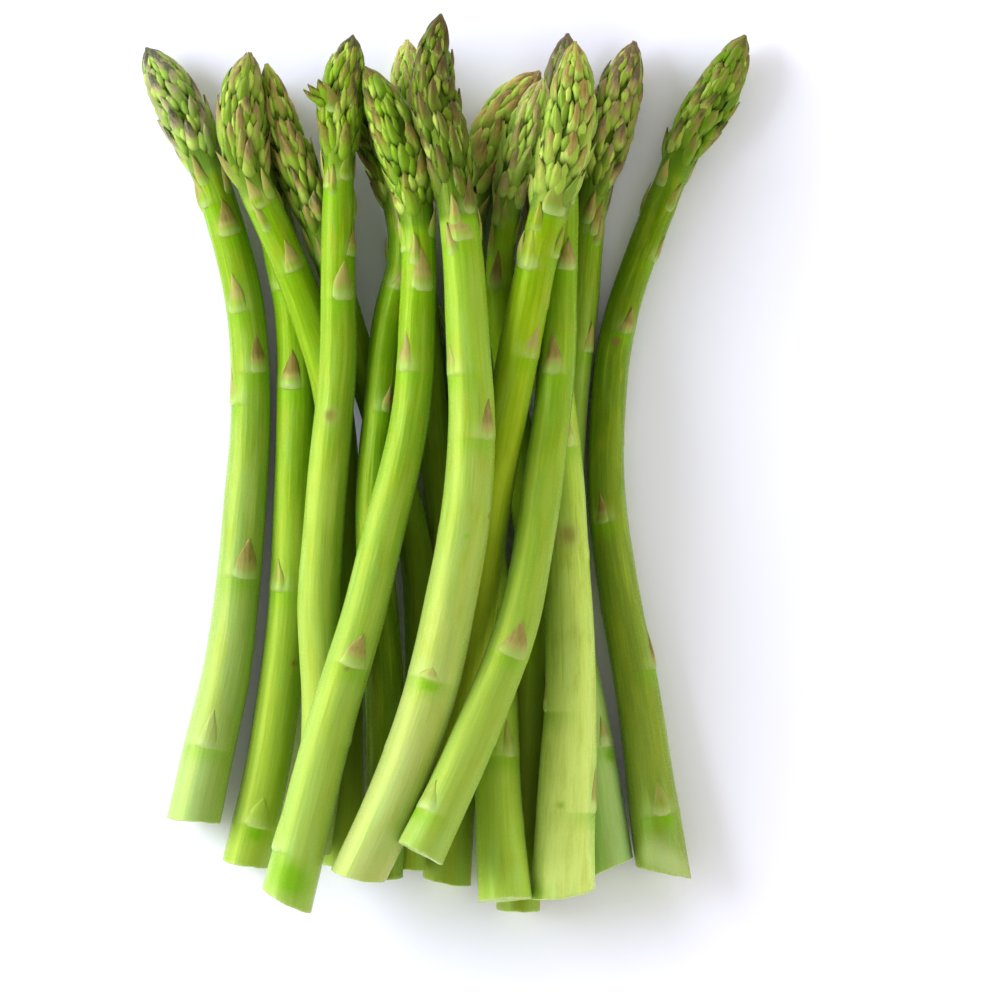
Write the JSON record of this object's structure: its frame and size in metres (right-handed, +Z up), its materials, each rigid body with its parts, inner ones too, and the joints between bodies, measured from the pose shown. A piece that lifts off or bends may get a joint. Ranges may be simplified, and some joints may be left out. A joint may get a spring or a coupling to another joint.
{
  "type": "bunch of asparagus",
  "caption": "Loose bunch of fresh green asparagus spears lying flat, with the scaly tips at one end and the cut stems at the other.",
  "frame": {"origin": "on the surface that the bunch lies on, under the middle of the bunch", "axes": "+Z up from that surface, +Y along the spears towards their tips, +X across the bunch"},
  "size_m": [0.1516, 0.224, 0.047],
  "materials": {
    "spear_skin": "waxy green skin with a soft sheen"
  },
  "bodies": {
    "root": {"spear_01": "spear_skin", "spear_02": "spear_skin", "spear_03": "spear_skin", "spear_04": "spear_skin", "spear_05": "spear_skin", "spear_06": "spear_skin", "spear_07": "spear_skin", "spear_08": "spear_skin", "spear_09": "spear_skin", "spear_10": "spear_skin", "spear_11": "spear_skin", "spear_12": "spear_skin", "spear_13": "spear_skin", "spear_14": "spear_skin", "spear_15": "spear_skin", "spear_16": "spear_skin"}
  },
  "joints": []
}
